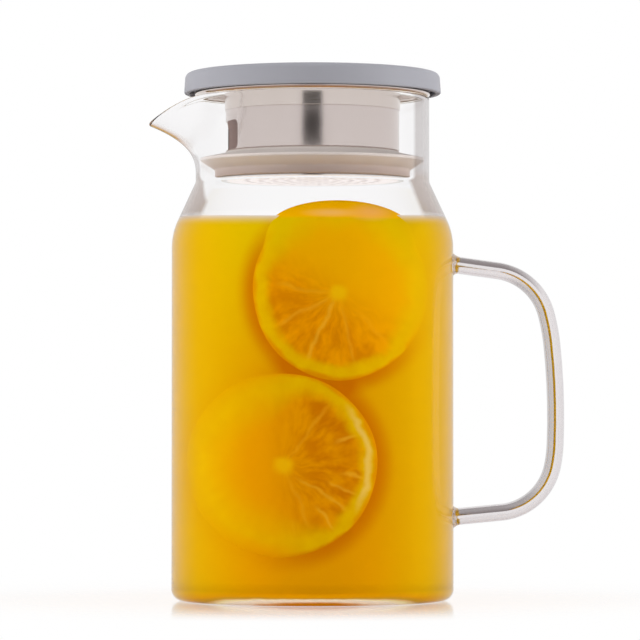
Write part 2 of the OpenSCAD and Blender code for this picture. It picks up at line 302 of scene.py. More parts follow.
def window_cutter():
    """A bar with rounded corners, as wide and high as the pour window, reaching out past the spout."""
    x, y = (WINDOW_TOP - WINDOW_LOW) / 2 - WINDOW_CORNER, WINDOW_HALF - WINDOW_CORNER
    outline = []
    for corner, (across, up) in enumerate(((y, x), (-y, x), (-y, -x), (y, -x))):
        outline += arc(across, up, WINDOW_CORNER, 90 * corner, 90 * corner + 90, 8)
    middle = (WINDOW_TOP + WINDOW_LOW) / 2
    c, d = math.cos(math.radians(WINDOW_TURN)), math.sin(math.radians(WINDOW_TURN))
    ends = [[(-depth * c - across * d, across * c - depth * d, middle + up) for across, up in outline]
            for depth in (20, 45)]
    return skin("window_cutter", ends, ring=False, tube=True)


def make_cup():
    top, fine, eased_edge = PLATE_UNDER - WELD_GAP, 0.3, 0.12
    cup = turned("strainer_cup_drawn", eased([
        (CUP_R - CUP_T, top, 0), (CUP_R - CUP_T, STEP_H + CUP_T, fine),
        (CUP_LOW_R - CUP_T, STEP_H - CUP_T, fine), (CUP_LOW_R - CUP_T, STRAINER_TOP, 0),
        (CUP_LOW_R, STRAINER_TOP, 0), (CUP_LOW_R, STEP_H, 0.2), (CUP_R, STEP_H, 0.35), (CUP_R, top, 0)]), 360)
    cutter = window_cutter()
    cut = cup.modifiers.new("window", "BOOLEAN")
    cut.operation, cut.solver, cut.object = "DIFFERENCE", "MANIFOLD", cutter
    ease = cup.modifiers.new("window_edge", "BEVEL")
    ease.width, ease.segments, ease.limit_method = eased_edge * MM, 2, "ANGLE"
    ease.angle_limit = math.radians(50)
    bpy.context.view_layer.update()
    made = bpy.data.meshes.new_from_object(cup.evaluated_get(bpy.context.evaluated_depsgraph_get()))
    cup.modifiers.clear()
    cup.data = made
    made.shade_smooth()
    made.set_sharp_from_angle(angle=math.radians(35))
    bpy.data.objects.remove(cutter)
    return cup


def make_seal():
    """The ring, with a lip that flares up and out until it nearly meets the neck."""
    bore, tip = CUP_LOW_R + 0.05, NECK_R - WALL - SEAT_GAP
    sleeve = bore + 5.3
    return turned("soft_seal", eased([
        (bore, SEAL_LOW, 0.3), (sleeve, SEAL_LOW, 0.8), (sleeve, SEAL_LOW + 3.7, 1.6),
        (tip, SEAL_LOW + 7.3, 0.5), (tip, SEAL_LOW + 8.5, 0.5), (bore + 2.2, SEAL_LOW + 10.6, 2.0),
        (bore + 0.6, SEAL_TOP, 0.25), (bore, SEAL_TOP, 0.2)]), 300)


# ---- the drink and its slices ----
def wall_line(sink):
    """Inner face of the jug from the middle of its floor up to the neck, moved outwards by sink."""
    inset = WALL - sink
    return ([(0, BASE - sink), (25, BASE - sink)]
            + arc(BODY_R - WALL - FLOOR_R, BASE + FLOOR_R, FLOOR_R + sink, -90, 0, 14)
            + [(BODY_R - inset, z) for z in (20, 40, 60, 80, 100, 120, 140)] + shoulder_line(inset))


def wall_radius(h, sink):
    line = wall_line(sink)
    for (r0, z0), (r1, z1) in zip(line, line[1:]):
        if z0 <= h <= z1 and z1 > z0:
            return r0 + (r1 - r0) * (h - z0) / (z1 - z0)
    return line[-1][0]


def make_drink():
    """The drink up to its level, and its film on the wall, which falls off to it in a few millimetres."""
    low = [p for p in wall_line(DRINK_SINK) if p[1] < DRINK_H - 3]
    turns, film_t, fall = 240, 0.35, 1.3
    sections = []
    for i in range(turns):
        t = 2 * math.pi * i / turns
        c, s = math.cos(t), math.sin(t)
        climb = FILM_CLIMB + FILM_SIDE_CLIMB * c * c
        heights = [DRINK_H + climb * k / 3 for k in (-3, 0, 1, 2, 3)]
        side = low + [(wall_radius(h, DRINK_SINK), h) for h in heights]
        top_r = side[-1][0]
        side += [(top_r - film_t - w, DRINK_H + climb * 0.9 * math.exp(-w / fall))
                 for w in (0.0, 0.5, 1.0, 1.7, 2.6, 4.0, 6.0)]
        side += [(top_r - d, DRINK_H) for d in (10, 20, 35)] + [(0, DRINK_H)]
        sections.append([(r * c, r * s, z) for r, z in side])
    return skin("drink", sections, ring=True, tube=False, sharp=50)


def make_slice(name, slice_at, proud, top_wide):
    """A slice that hugs the front wall: a thin shell with its face just proud of the drink. Where it leans
    in under the shoulder it is wider, by the share top_wide."""
    middle_x, middle_z, half_w, half_h = slice_at
    rings, spokes = 34, 128
    edge_depth, edge_thinner = 0.12, 1.0
    face, back = [], []
    for k in range(rings + 1):
        q = k / rings
        face_row, back_row = [], []
        for i in range(spokes):
            t = 2 * math.pi * i / spokes
            # Its outline is a little uneven, and it widens near the top only.
            wave = 1 + 0.006 * math.sin(3 * t + 0.6) + 0.004 * math.sin(7 * t)
            over = min(1.0, max(0.0, (math.sin(t) - 0.45) / 0.5))
            wave_x = wave * (1 + top_wide * over * over * (3 - 2 * over))
            x = middle_x + half_w * wave_x * q * math.cos(t)
            z = middle_z + half_h * wave * q * math.sin(t)
            # The peel eases down into the drink.
            edge = max(0.0, q - PEEL_FROM) / (1 - PEEL_FROM)
            outer = wall_radius(z, 0) + DRINK_SINK + proud - (proud + edge_depth) * edge * edge
            inner = outer - SLICE_T + edge_thinner * edge
            face_row.append((x, -math.sqrt(outer * outer - x * x), z))
            back_row.append((x, -math.sqrt(inner * inner - x * x), z))
        face.append(face_row)
        back.append(back_row)
    return skin(name, face + list(reversed(back)), ring=True, tube=True, sharp=80)


# ======== finishes ========
def colour(code):
    """An sRGB hex colour as the linear colour that a shader takes."""
    parts = [int(code[i:i + 2], 16) / 255 for i in (1, 3, 5)]
    return tuple(p / 12.92 if p <= 0.04045 else ((p + 0.055) / 1.055) ** 2.4 for p in parts) + (1.0,)


# Settings that many nodes share: a range that eases in and out, a product, and a mix of two colours.
SMOOTH = {"interpolation_type": "SMOOTHSTEP"}
TIMES = {"operation": "MULTIPLY"}
RGBA = {"data_type": "RGBA"}


def add_node(finish, kind, inputs=None, **settings):
    """Adds a node with its settings. An input is a value, or what to link: an output, or a node for the
    first output that it has in use. Numbered inputs are the terms of a sum or product; 1, 2 the range from
    and 3, 4 the range to; 6, 7 the two colours of a mix."""
    node = finish.node_tree.nodes.new("ShaderNode" + kind)
    for name, value in settings.items():
        setattr(node, name, value)
    for name, value in (inputs or {}).items():
        is_node = isinstance(value, bpy.types.Node)
        source = next(output for output in value.outputs if output.enabled) if is_node else value
        if isinstance(source, bpy.types.NodeSocket):
            finish.node_tree.links.new(source, node.inputs[name])
        else:
            node.inputs[name].default_value = source
    return node


def emptied(finish):
    """A material or world without nodes, and the function that adds one to it."""
    finish.use_nodes = True
    finish.node_tree.nodes.clear()
    return finish, functools.partial(add_node, finish)


def blank(name):
    return emptied(bpy.data.materials.new(name))


def ramp(node, stops):
    """Sets the stops of a colour ramp, each (place, hex colour)."""
    stop_list = node.color_ramp.elements
    while len(stop_list) > len(stops):
        stop_list.remove(stop_list[-1])
    while len(stop_list) < len(stops):
        stop_list.new(1.0)
    for stop, (place, code) in zip(stop_list, stops):
        stop.position, stop.color = place, colour(code)


def golden_lip(add, apart, facing, slant, neck):
    """A painted golden light at the edge of the spout's lip, for the drink's light carried up in the wall."""
    at_lip = add("MapRange", {"Value": apart.outputs["X"], 1: -50 * MM, 2: -58 * MM})
    at_edge = add("MapRange", {"Value": slant.outputs["Facing"], 1: 0.40, 2: 0.62})
    under = add("MapRange", {"Value": facing.outputs["Z"], 1: 0.15, 2: -0.1})
    golden = at_lip
    for share in (at_edge, under, neck):
        golden = add("Math", {0: golden, 1: share}, **TIMES)
    return golden


def blown_glass(name, wave_mm, wave_depth_mm, dry_painted_shade, wet_painted_shade, density, shine, inner_painted_shade):
    """Borosilicate glass, blown and fire-polished: clear, with a faint grey-lilac body that shows where
    the eye looks along the wall, and the slow waves of glass that was worked hot. Shade is painted along
    its edges: over the drink, where the wall is dry on one side only, dry_painted_shade in a narrow band and
    for the eye only, below it wet_painted_shade, spread wider. shine is that of its face-on gloss, and
    inner_painted_shade is painted shade on the side that looks back to the spout."""
    finish, add = blank(name)
    place = add("TexCoord")
    wave = add("TexNoise", {"Vector": place.outputs["Object"], "Scale": 1000 / wave_mm, "Detail": 1.0,
                            "Roughness": 0.4})
    bump = add("Bump", {"Height": wave, "Strength": 1.0, "Distance": wave_depth_mm * MM})
    slant = add("LayerWeight", {"Blend": 0.5})
    # Painted edge shade where the drink wets the wall: the slanter the eye meets the surface, the darker.
    wet = add("ValToRGB", {"Fac": slant.outputs["Facing"]})
    ramp(wet, [(0.42, "#FFFFFF"), (0.85, wet_painted_shade), (1.0, wet_painted_shade)])
    apart = add("SeparateXYZ", {"Vector": place.outputs["Object"]})
    facing = add("SeparateXYZ", {"Vector": place.outputs["Normal"]})
    # Where the wall flares out to the spout, the painted edge shade keeps to its very edge.
    flared = add("MapRange", {"Value": apart.outputs["X"], 1: 5 * MM, 2: -5 * MM, 3: 0.0, 4: 0.22})
    neck = add("MapRange", {"Value": apart.outputs["Z"], 1: 168 * MM, 2: 180 * MM})
    later = add("Math", {0: flared, 1: neck}, **TIMES)
    slanted = add("Math", {0: slant.outputs["Facing"], 1: later}, operation="SUBTRACT")
    # Painted edge shade over the drink.
    dry = add("ValToRGB", {"Fac": slanted})
    ramp(dry, [(0.49, "#F6F5F6"), (0.54, dry_painted_shade), (1.0, dry_painted_shade)])
    # The shoulder's wall is painted warmer, for the light of the drink under it.
    shoulder = add("MapRange", {"Value": apart.outputs["Z"], 1: 184 * MM, 2: 179 * MM})
    shaded = add("MapRange", {"Value": slanted, 1: 0.49, 2: 0.54})
    warmer = add("Math", {0: shoulder, 1: shaded}, **TIMES)
    warm = add("Mix", {"Factor": warmer, 6: dry, 7: colour("#D9C9BD")}, blend_type="MULTIPLY", **RGBA)
    over = add("MapRange", {"Value": apart.outputs["Z"], 1: DRINK_H * MM, 2: (DRINK_H + 4) * MM})
    light = add("LightPath")
    # The painted edge shade over the drink is for the eye only.
    first = add("Mix", {"Factor": light.outputs["Is Camera Ray"], 6: colour("#FFFFFF"), 7: warm}, **RGBA)
    golden = golden_lip(add, apart, facing, slant, neck)
    # Painted golden light at the spout's lip.
    first = add("Mix", {"Factor": golden, 6: first, 7: colour("#A86C20")}, **RGBA)
    edge = add("Mix", {"Factor": over, 6: wet, 7: first}, **RGBA)
    # Painted shade on the side that looks back to the spout, for the eye only.
    inner = add("MapRange", {"Value": facing.outputs["X"], 1: -0.22, 2: -0.5})
    inner = add("Math", {0: inner, 1: light.outputs["Is Camera Ray"]}, **TIMES)
    edge = add("Mix", {"Factor": inner, 6: edge, 7: colour(inner_painted_shade)}, blend_type="MULTIPLY", **RGBA)
    glass = add("BsdfPrincipled", {
        "Base Color": edge, "Roughness": 0.0, "IOR": 1.47, "Transmission Weight": 1.0,
        "Specular Tint": colour(shine), "Normal": bump})
    clear = add("BsdfTransparent", {"Color": colour("#FFFFFF")})
    mixed = add("MixShader", {"Fac": light.outputs["Is Shadow Ray"], 1: glass, 2: clear})
    body = add("VolumeAbsorption", {"Color": colour("#DCD3D5"), "Density": density})
    add("OutputMaterial", {"Surface": mixed, "Volume": body})
    return finish


def satin_steel(name, tone, roughness, inner_painted_glow=0.0):
    """Stainless steel 18/8, drawn and then satin-polished on the lathe: fine lines run round it, so
    that reflections stay crisp across and smear up and down. inner_painted_glow is the strength of a glow
    painted on all that lies inside the cup's radius, for the light caught in the cup."""
    finish, add = blank(name)
    place = add("TexCoord").outputs["Object"]
    # Polishing lines lie about 0.15 mm apart: drawn at 0.4 mm, the finest that a picture shows.
    lines = add("Mapping", {"Vector": place, "Scale": (12.0, 12.0, 2500.0)})
    line = add("TexNoise", {"Vector": lines, "Scale": 1.0, "Detail": 3.0})
    # Handling leaves soft upright clouds, about 6 mm wide.
    cloud_place = add("Mapping", {"Vector": place, "Scale": (160.0, 160.0, 20.0)})
    cloud = add("TexNoise", {"Vector": cloud_place, "Scale": 1.0, "Detail": 2.0})
    streak = add("MapRange", {"Value": line, 1: 0.3, 2: 0.7, 3: roughness - 0.008, 4: roughness + 0.01})
    tint = add("Mix", {"Factor": cloud, 6: colour(tone[0]), 7: colour(tone[1])}, **RGBA)
    bump = add("Bump", {"Height": line, "Strength": 0.012, "Distance": 0.004 * MM})
    lay = add("Tangent", direction_type="RADIAL", axis="Z")
    look = {"Base Color": tint, "Metallic": 1.0, "Roughness": streak, "Anisotropic": 0.3,
            "Anisotropic Rotation": 0.25, "Tangent": lay, "Normal": bump}
    # A glow painted inside the cup's radius, for the light caught in the cup.
    if inner_painted_glow:
        flat = add("VectorMath", {0: place, 1: (1.0, 1.0, 0.0)}, **TIMES)
        out = add("VectorMath", {0: flat}, operation="LENGTH")
        inside = add("MapRange", {"Value": out, 1: (CUP_R - 0.4) * MM, 2: (CUP_R - 0.25) * MM,
                                  3: inner_painted_glow, 4: 0.0})
        look["Emission Strength"], look["Emission Color"] = inside, colour("#FFECE8")
    add("OutputMaterial", {"Surface": add("BsdfPrincipled", look)})
    return finish


def soft_silicone():
    """Silicone rubber, moulded: warm grey, with the faint cloud and dust of rubber. A faint glow is
    painted all over it, for the light that the soft rubber lets through."""
    finish, add = blank("silicone_moulded_warm_grey")
    place = add("TexCoord").outputs["Object"]
    cloud = add("TexNoise", {"Vector": place, "Scale": 60.0, "Detail": 3.0})
    dust = add("TexNoise", {"Vector": place, "Scale": 1600.0, "Detail": 2.0})
    # Painted light and shade: the pale rubber is painted lighter at the top, for the light above, and
    # warm and darker at the bottom, for the drink's warm shade below.
    apart = add("SeparateXYZ", {"Vector": place})
    drift = add("Math", {0: cloud, 1: 1.5 * MM, 2: apart.outputs["Z"]}, operation="MULTIPLY_ADD")
    height = add("MapRange", {"Value": drift, 1: SEAL_LOW * MM, 2: SEAL_TOP * MM})
    tint = add("ValToRGB", {"Fac": height})
    ramp(tint, [(0.0, "#AA958C"), (0.3, "#B7A59C"), (0.55, "#DCCFC8"), (1.0, "#F8F0EA")])
    sheen = add("MapRange", {"Value": dust, 3: 0.42, 4: 0.58})
    bump = add("Bump", {"Height": dust, "Strength": 0.3, "Distance": 0.03 * MM})
    # Its emission is the faint painted glow.
    rubber = add("BsdfPrincipled", {
        "Base Color": tint, "Roughness": sheen, "IOR": 1.41, "Normal": bump,
        "Emission Color": colour("#FFF1EA"), "Emission Strength": 0.07})
    add("OutputMaterial", {"Surface": rubber})
    return finish


def matt_cap_plastic():
    """Polypropylene with a soft-touch matt coat: even blue-grey, with a fine moulded grain that breaks
    the light."""
    finish, add = blank("polypropylene_moulded_blue_grey")
    place = add("TexCoord").outputs["Object"]
    # The grain of the mould is about 0.1 mm: drawn at 0.35 mm so that it shows.
    grain = add("TexVoronoi", {"Vector": place, "Scale": 2800.0})
    cloud = add("TexNoise", {"Vector": place, "Scale": 45.0, "Detail": 3.0})
    tint = add("Mix", {"Factor": cloud, 6: colour("#98989F"), 7: colour("#93939A")}, **RGBA)
    sheen = add("MapRange", {"Value": cloud, 3: 0.52, 4: 0.62})
    bump = add("Bump", {"Height": grain, "Strength": 0.35, "Distance": 0.02 * MM})
    plastic = add("BsdfPrincipled", {"Base Color": tint, "Roughness": sheen, "IOR": 1.49, "Normal": bump})
    add("OutputMaterial", {"Surface": plastic})
    return finish


def drink_colour(add, place):
    """Colour of the drink by its place in the jug, with light and shade painted in: clear yellow at the
    top and the sides, deeper orange in the middle and low down, where more of it lies behind."""
    apart = add("SeparateXYZ", {"Vector": place})
    cloud = add("TexNoise", {"Vector": place, "Scale": 16.0, "Detail": 2.0, "Roughness": 0.5})
    drift = add("Math", {0: cloud, 1: 0.03}, **TIMES)
    height = add("Math", {0: apart.outputs["Z"], 1: drift}, operation="ADD")
    by_height = add("MapRange", {"Value": height, 1: 0.015, 2: 0.175})
    tall = add("ValToRGB", {"Fac": by_height})
    ramp(tall, [(0.0, "#F0AA00"), (0.3, "#E6A400"), (0.65, "#E6AE00"), (0.9, "#E6C200"), (1.0, "#E8C800")])
    aside = add("Math", {0: apart.outputs["X"]}, operation="ABSOLUTE")
    by_side = add("MapRange", {"Value": aside, 1: 0.018, 2: 0.056}, **SMOOTH)
    return add("Mix", {"Factor": by_side, 6: tall, 7: colour("#E2B600")}, **RGBA)


def in_ellipse(add, place, middle_x, middle_z, half_w, half_h):
    """Where a place lies in an upright ellipse, given in millimetres, as shares of its half axes."""
    shift = add("VectorMath", {0: place, 1: (-middle_x * MM, 0.0, -middle_z * MM)}, operation="ADD")
    return add("VectorMath", {0: shift, 1: (1 / (half_w * MM), 0.0, 1 / (half_h * MM))}, **TIMES)


def around_slice(add, place, slice_at, far, shade_way):
    """How much painted shade a slice casts on the drink just outside its edge, out to far times its radius.
    The painted shade is strongest on the side of shade_way, a direction in degrees."""
    share = in_ellipse(add, place, *slice_at)
    out = add("VectorMath", {0: share}, operation="LENGTH")
    shade = add("MapRange", {"Value": out, 1: 0.98, 2: far, 3: 0.9, 4: 0.0}, **SMOOTH)
    way = math.radians(shade_way)
    lean = add("VectorMath", {0: share, 1: (math.cos(way), 0.0, math.sin(way))}, operation="DOT_PRODUCT")
    sided = add("MapRange", {"Value": lean, 1: -0.5, 2: 0.6, 3: 0.1, 4: 1.0}, **SMOOTH)
    return add("Math", {0: shade, 1: sided}, **TIMES)


def foot_line(add, side, flat, out):
    """Painted light that the base gathers in the corner of the floor: a thin pale line at line_r from the
    axis, with deep orange under it. Returns the place across the corner, and the colour there."""
    line_r, side_reach = 54.65 * MM, 39 * MM
    wave = add("TexNoise", {"Vector": flat, "Scale": 130.0, "Detail": 1.0})
    wavy = add("Math", {0: wave, 1: 0.5 * MM, 2: out}, operation="MULTIPLY_ADD")
    # Towards the sides the line lies further in and is broader, so that the eye sees it level.
    aside = add("Math", {0: side, 1: 1 / side_reach ** 2}, **TIMES)
    aside_more = add("Math", {0: aside, 1: aside}, **TIMES)
    drawn = add("Math", {0: aside_more, 1: 0.95 * MM, 2: wavy}, operation="MULTIPLY_ADD")
    past = add("Math", {0: drawn, 1: line_r}, operation="SUBTRACT")
    broad = add("Math", {0: aside, 1: 1.5, 2: 1.0}, operation="MULTIPLY_ADD")
    past = add("Math", {0: past, 1: broad}, operation="DIVIDE")
    by_corner = add("MapRange", {"Value": past, 1: -3 * MM, 2: 2 * MM})
    corner = add("ValToRGB", {"Fac": by_corner})
    ramp(corner, [(0.0, "#DC9008"), (0.26, "#D88800"), (0.34, "#E8B274"), (0.41, "#FFEED8"),
                  (0.52, "#FFFAEC"), (0.58, "#FFF6C8"), (0.66, "#CDA033"), (0.74, "#DE9F13"),
                  (1.0, "#E6A400")])
    return by_corner, corner


def juice():
    """Cloudy orange juice seen through the glass: no gloss of its own where it wets the wall. A glow is
    painted on it for the light carried on inside it, most at the foot where the clear base feeds light in.
    Under its surface the last 4 mm are paler, where the film on the wall thins out."""
    finish, add = blank("orange_juice_cloudy")
    place = add("TexCoord").outputs["Object"]
    apart = add("SeparateXYZ", {"Vector": place})
    tint = drink_colour(add, place)
    # Painted shade that the slices cast on the drink just outside their edges.
    low_shade = around_slice(add, place, LOW_SLICE, 1.22, 0)
    top_shade = around_slice(add, place, TOP_SLICE, 1.2, 230)
    shade = add("Math", {0: low_shade, 1: top_shade}, operation="ADD", use_clamp=True)
    front = add("MapRange", {"Value": apart.outputs["Y"], 1: -10 * MM, 2: -25 * MM})
    shade = add("Math", {0: shade, 1: front}, **TIMES)
    shaded = add("Mix", {"Factor": shade, 6: tint, 7: colour("#D27800")}, **RGBA)
    # The film stands higher at the sides than in front.
    side = add("Math", {0: apart.outputs["X"], 1: apart.outputs["X"]}, **TIMES)
    film = add("Math", {0: side, 1: -FILM_SIDE_CLIMB * MM / ((BODY_R - WALL) * MM) ** 2,
                        2: apart.outputs["Z"]}, operation="MULTIPLY_ADD")
    deep = add("MapRange", {"Value": film, 1: (DRINK_H - 4.2) * MM, 2: (DRINK_H + 0.4) * MM})
    pale = add("Math", {0: deep, 1: 3.2}, operation="POWER")
    flat = add("VectorMath", {0: place, 1: (1.0, 1.0, 0.0)}, **TIMES)
    out = add("VectorMath", {0: flat}, operation="LENGTH")
    on_wall = add("MapRange", {"Value": out, 1: 50 * MM, 2: 54 * MM}, **SMOOTH)
    pale = add("Math", {0: pale, 1: on_wall}, **TIMES)
    topped = add("Mix", {"Factor": pale, 6: shaded, 7: colour("#EFE5DE")}, **RGBA)
    # The painted light of the base, in the corner of the floor.
    by_corner, corner = foot_line(add, side, flat, out)
    low = add("MapRange", {"Value": apart.outputs["Z"], 1: 5.6 * MM, 2: 4.8 * MM})
    within = add("MapRange", {"Value": by_corner, 1: 0.84, 2: 0.70})
    in_corner = add("Math", {0: low, 1: within}, **TIMES)
    footed = add("Mix", {"Factor": in_corner, 6: topped, 7: corner}, **RGBA)
    # The painted glow, strongest at the foot.
    glow = add("MapRange", {"Value": apart.outputs["Z"], 1: 3.5 * MM, 2: 6 * MM, 3: 0.36, 4: 0.06}, **SMOOTH)
    liquid = add("BsdfPrincipled", {
        "Base Color": footed, "Roughness": 0.5, "Specular IOR Level": 0.0,
        "Emission Color": footed, "Emission Strength": glow})
    add("OutputMaterial", {"Surface": liquid})
    return finish


def skin_lines(add, star, skins):
    """Thin skins between the segments, each with its own reach, which ends softly."""
    thread = None
    for turn, start, stop, half_width, strength in skins:
        c, d = math.cos(math.radians(turn)), math.sin(math.radians(turn))
        along = add("VectorMath", {0: star, 1: (c, d, 0.0)}, operation="DOT_PRODUCT")
        beside = add("VectorMath", {0: star, 1: (-d, c, 0.0)}, operation="DOT_PRODUCT")
        away = add("Math", {0: beside}, operation="ABSOLUTE")
        line = add("MapRange", {"Value": away, 1: 0.0, 2: half_width, 3: strength, 4: 0.0}, **SMOOTH)
        begun = add("MapRange", {"Value": along, 1: start - 0.06, 2: start + 0.06})
        ended = add("MapRange", {"Value": along, 1: stop - 0.08, 2: stop + 0.04, 3: 1.0, 4: 0.0})
        held = add("Math", {0: line, 1: begun}, **TIMES)
        held = add("Math", {0: held, 1: ended}, **TIMES)
        thread = held if thread is None else add("Math", {0: thread, 1: held}, operation="MAXIMUM")
    return thread


def orange_flesh(name, slice_at, heart_at, tones, skins, clear_way, clear_to, far_ring, arc_light=0.0,
                 patches=()):
    """A cut orange: thin orange peel, pale soft pith, segments full of drop-shaped sacs, parted by thin
    pale skins. Only the side that lies near the glass is clear, the rest is veiled by the drink, and a faint
    glow is painted on it. heart_at is where the skins meet, in shares of the radius, and tones are the
    flesh veiled, clear and dark. Each skin has its angle in degrees, then from, to, half width and
    strength, in shares. clear_way is the direction in which the flesh comes clear, by clear_to of the
    radius. far_ring is where the pith begins on the far side, arc_light the strength of a painted
    highlight along the near pith. Each patch is a painted soft highlight: its middle in X and Z and half
    its size in millimetres, colour and strength."""
    middle_x, middle_z, half_w, half_h = slice_at
    finish, add = blank(name)
    place = add("TexCoord").outputs["Object"]
    drink = drink_colour(add, place)
    apart = add("SeparateXYZ", {"Vector": place})
    across = add("Math", {0: apart.outputs["X"], 1: 1 / (half_w * MM), 2: -middle_x / half_w},
                 operation="MULTIPLY_ADD")
    up = add("Math", {0: apart.outputs["Z"], 1: 1 / (half_h * MM), 2: -middle_z / half_h},
             operation="MULTIPLY_ADD")
    flat = add("CombineXYZ", {"X": across, "Y": up})
    # Wobble makes rings and skins uneven, by about 1 mm on a slice of 38 mm.
    wobble = add("TexNoise", {"Vector": flat, "Scale": 4.0, "Detail": 3.0}, noise_dimensions="2D")
    shake = add("VectorMath", {0: wobble.outputs["Color"], 1: (0.5, 0.5, 0.5)}, operation="SUBTRACT")
    shake = add("VectorMath", {0: shake, "Scale": 0.11}, operation="SCALE")
    spot = add("VectorMath", {0: flat, 1: shake}, operation="ADD")
    out = add("VectorMath", {0: spot}, operation="LENGTH")
    star = add("VectorMath", {0: spot, 1: (-heart_at[0], -heart_at[1], 0.0)}, operation="ADD")
    star_out = add("VectorMath", {0: star}, operation="LENGTH")
    plane = add("SeparateXYZ", {"Vector": star})
    # How clear the flesh is: full on the near side, nothing on the far side.
    way = math.radians(clear_way)
    lean = add("VectorMath", {0: flat, 1: (math.cos(way), math.sin(way), 0.0)}, operation="DOT_PRODUCT")
    clear = add("MapRange", {"Value": lean, 1: -0.25, 2: clear_to}, **SMOOTH)
    # Sacs are about 2 mm wide and 8 mm long, and point to the middle.
    angle = add("Math", {0: plane.outputs["Y"], 1: plane.outputs["X"]}, operation="ARCTAN2")
    sac_angle = add("Math", {0: angle, 1: 6.0}, **TIMES)
    sac_out = add("Math", {0: star_out, 1: 4.5}, **TIMES)
    sac_place = add("CombineXYZ", {"X": sac_angle, "Y": sac_out})
    sac = add("TexNoise", {"Vector": sac_place, "Scale": 1.0, "Detail": 2.0, "Roughness": 0.6},
              noise_dimensions="2D")
    cloud = add("TexNoise", {"Vector": flat, "Scale": 3.4, "Detail": 4.0}, noise_dimensions="2D")
    mottle = add("Math", {0: sac, 1: cloud}, operation="ADD")
    dark = add("MapRange", {"Value": mottle, 1: 0.72, 2: 1.2})
    dark_here = add("Math", {0: dark, 1: clear}, **TIMES)
    base = add("Mix", {"Factor": clear, 6: colour(tones[0]), 7: colour(tones[1])}, **RGBA)
    flesh = add("Mix", {"Factor": dark_here, 6: base, 7: colour(tones[2])}, **RGBA)
    threaded = add("Mix", {"Factor": skin_lines(add, star, skins), 6: flesh, 7: colour("#F2BC2C")}, **RGBA)
    heart = add("MapRange", {"Value": star_out, 1: 0.04, 2: 0.14, 3: 0.9, 4: 0.0}, **SMOOTH)
    starred = add("Mix", {"Factor": heart, 6: threaded, 7: colour("#F6CA08")}, **RGBA)
    # The pith is thin and crisp on the near side, broad and soft on the far side.
    uneven = add("Math", {0: cloud, 1: 0.12, 2: out}, operation="MULTIPLY_ADD")
    begins = add("MapRange", {"Value": clear, 3: far_ring, 4: 0.82})
    pith = add("MapRange", {"Value": uneven, 1: begins, 2: 0.95}, **SMOOTH)
    rind = add("Mix", {"Factor": sac, 6: colour("#EFC800"), 7: colour("#E4B400")}, **RGBA)
    ringed = add("Mix", {"Factor": pith, 6: starred, 7: rind}, **RGBA)
    if arc_light:
        # The painted highlight lies at this share of the radius, on the near side only.
        from_arc = add("Math", {0: out, 1: 0.905}, operation="SUBTRACT")
        from_arc = add("Math", {0: from_arc}, operation="ABSOLUTE")
        arc_line = add("MapRange", {"Value": from_arc, 1: 0.0, 2: 0.055, 3: arc_light, 4: 0.0}, **SMOOTH)
        near_side = add("MapRange", {"Value": lean, 1: 0.68, 2: 0.86}, **SMOOTH)
        arc_here = add("Math", {0: arc_line, 1: near_side}, **TIMES)
        ringed = add("Mix", {"Factor": arc_here, 6: ringed, 7: colour("#F5D878")}, **RGBA)
    peel = add("MapRange", {"Value": out, 1: PEEL_FROM, 2: 0.985}, **SMOOTH)
    whole = add("Mix", {"Factor": peel, 6: ringed, 7: colour("#E39A00")}, **RGBA)
    veil = add("MapRange", {"Value": clear, 3: 0.3, 4: 0.0})
    rim_veil = add("MapRange", {"Value": out, 1: 0.72, 2: 0.98, 3: 0.0, 4: 0.95}, **SMOOTH)
    far_veil = add("MapRange", {"Value": clear, 1: 0.0, 2: 0.7, 3: 1.0, 4: 0.0})
    edge_veil = add("Math", {0: rim_veil, 1: far_veil}, **TIMES)
    veil = add("Math", {0: veil, 1: edge_veil}, operation="MAXIMUM")
    made = add("Mix", {"Factor": veil, 6: whole, 7: drink}, **RGBA)
    # What stands out of the drink is wet and evenly golden.
    bare = add("MapRange", {"Value": apart.outputs["Z"], 1: (DRINK_H - 1.0) * MM, 2: (DRINK_H + 0.8) * MM},
               **SMOOTH)
    made = add("Mix", {"Factor": bare, 6: made, 7: colour("#FEBE00")}, **RGBA)
    # Painted soft highlights.
    for x, z, patch_w, patch_h, code, strength in patches:
        share = in_ellipse(add, place, x, z, patch_w, patch_h)
        far = add("VectorMath", {0: share}, operation="LENGTH")
        soft = add("MapRange", {"Value": far, 1: 0.0, 2: 1.0, 3: strength, 4: 0.0}, **SMOOTH)
        made = add("Mix", {"Factor": soft, 6: made, 7: colour(code)}, **RGBA)
    # The emission is a faint painted glow.
    fruit = add("BsdfPrincipled", {
        "Base Color": made, "Roughness": 0.45, "Specular IOR Level": 0.0,
        "Emission Color": made, "Emission Strength": 0.06})
    add("OutputMaterial", {"Surface": fruit})
    return finish


# ======== the object ========
def dress(piece, body, finish, node=None):
    """Gives a piece its finish and the body that carries it. One that stands for a piece of the part
    also takes its node."""
    piece.data.materials.clear()
    piece.data.materials.append(finish)
    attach(piece, body)
    if node:
        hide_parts(node)


jug_glass = blown_glass(
    "borosilicate_glass_blown", wave_mm=45, wave_depth_mm=0.05, dry_painted_shade="#B0A9A9", wet_painted_shade="#DED8DA",
    density=9.0, shine="#555555", inner_painted_shade="#FFFFFF")
rod_glass = blown_glass(
    "borosilicate_rod_bent", wave_mm=30, wave_depth_mm=0.03, dry_painted_shade="#E2DCDF", wet_painted_shade="#E2DCDF",
    density=40.0, shine="#FFFFFF", inner_painted_shade="#BDBDBD")
plate_steel = satin_steel("steel_plate_pressed_polished", ("#D8CEC8", "#D2C7C0"), 0.18)
cup_steel = satin_steel("steel_cup_drawn_satin", ("#D5CAC6", "#D0C5C0"), 0.22, 0.08)
strainer_steel = satin_steel("steel_strainer_punched", ("#DAD6D4", "#D6D1CF"), 0.2, 0.22)

